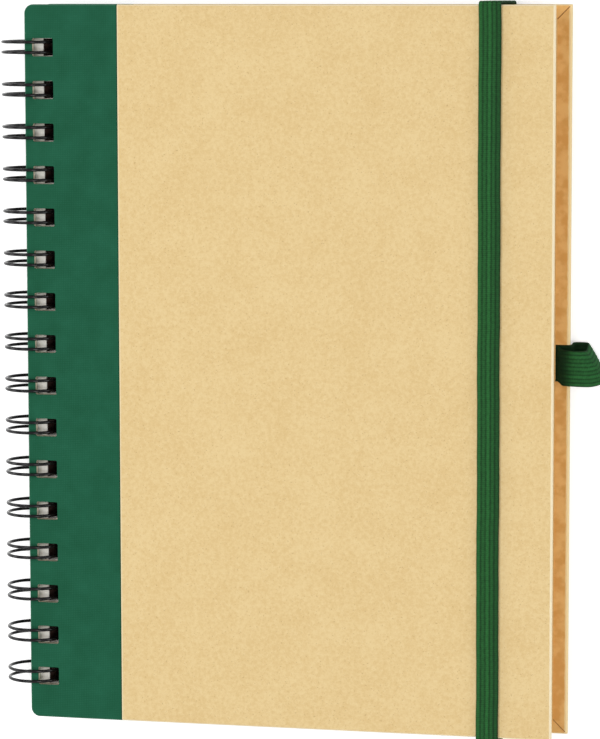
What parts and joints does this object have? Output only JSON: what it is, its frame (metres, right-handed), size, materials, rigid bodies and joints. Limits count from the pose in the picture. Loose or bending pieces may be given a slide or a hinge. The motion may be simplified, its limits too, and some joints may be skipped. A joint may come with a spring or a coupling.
{
  "type": "spiral notebook",
  "caption": "Hard-cover A5 notebook on black twin-loop wire, kraft covers with green spine strips, elastic closing strap and pen loop.",
  "frame": {"origin": "under the middle of the whole closed notebook, wire and pen loop included, at the height of the wire's lowest points", "axes": "+Z out of the front cover, +Y toward the head, +X from the wire toward the fore edge and pen loop"},
  "size_m": [0.1824, 0.2182, 0.0175],
  "materials": {
    "kraft_paper": "matte",
    "green_paper": "matte",
    "lining_paper": "matte",
    "grey_board": "matte",
    "page_paper": "matte",
    "black_wire": "gloss",
    "green_elastic": "matte"
  },
  "bodies": {
    "back_cover": {"back_board": "grey_board", "back_cover_paper": "kraft_paper", "back_spine_strip": "green_paper", "back_lining": "lining_paper", "wire_binding": "black_wire", "elastic_strap": "green_elastic", "pen_loop": "green_elastic"},
    "pages": {"page_block": "page_paper"},
    "front_cover": {"front_board": "grey_board", "front_cover_paper": "kraft_paper", "front_spine_strip": "green_paper", "front_lining": "lining_paper"}
  },
  "joints": [
    {"name": "pages_turn", "type": "hinge", "parent": "back_cover", "child": "pages", "pos_m": [-0.08246, 0, 0.00876], "axis": [0, -1, 0], "range_deg": [0, 180], "deforming": ["elastic_strap"]},
    {"name": "front_cover_hinge", "type": "hinge", "parent": "pages", "child": "front_cover", "pos_m": [-0.08246, 0, 0.00876], "axis": [0, -1, 0], "range_deg": [0, 180], "deforming": ["elastic_strap"]}
  ]
}
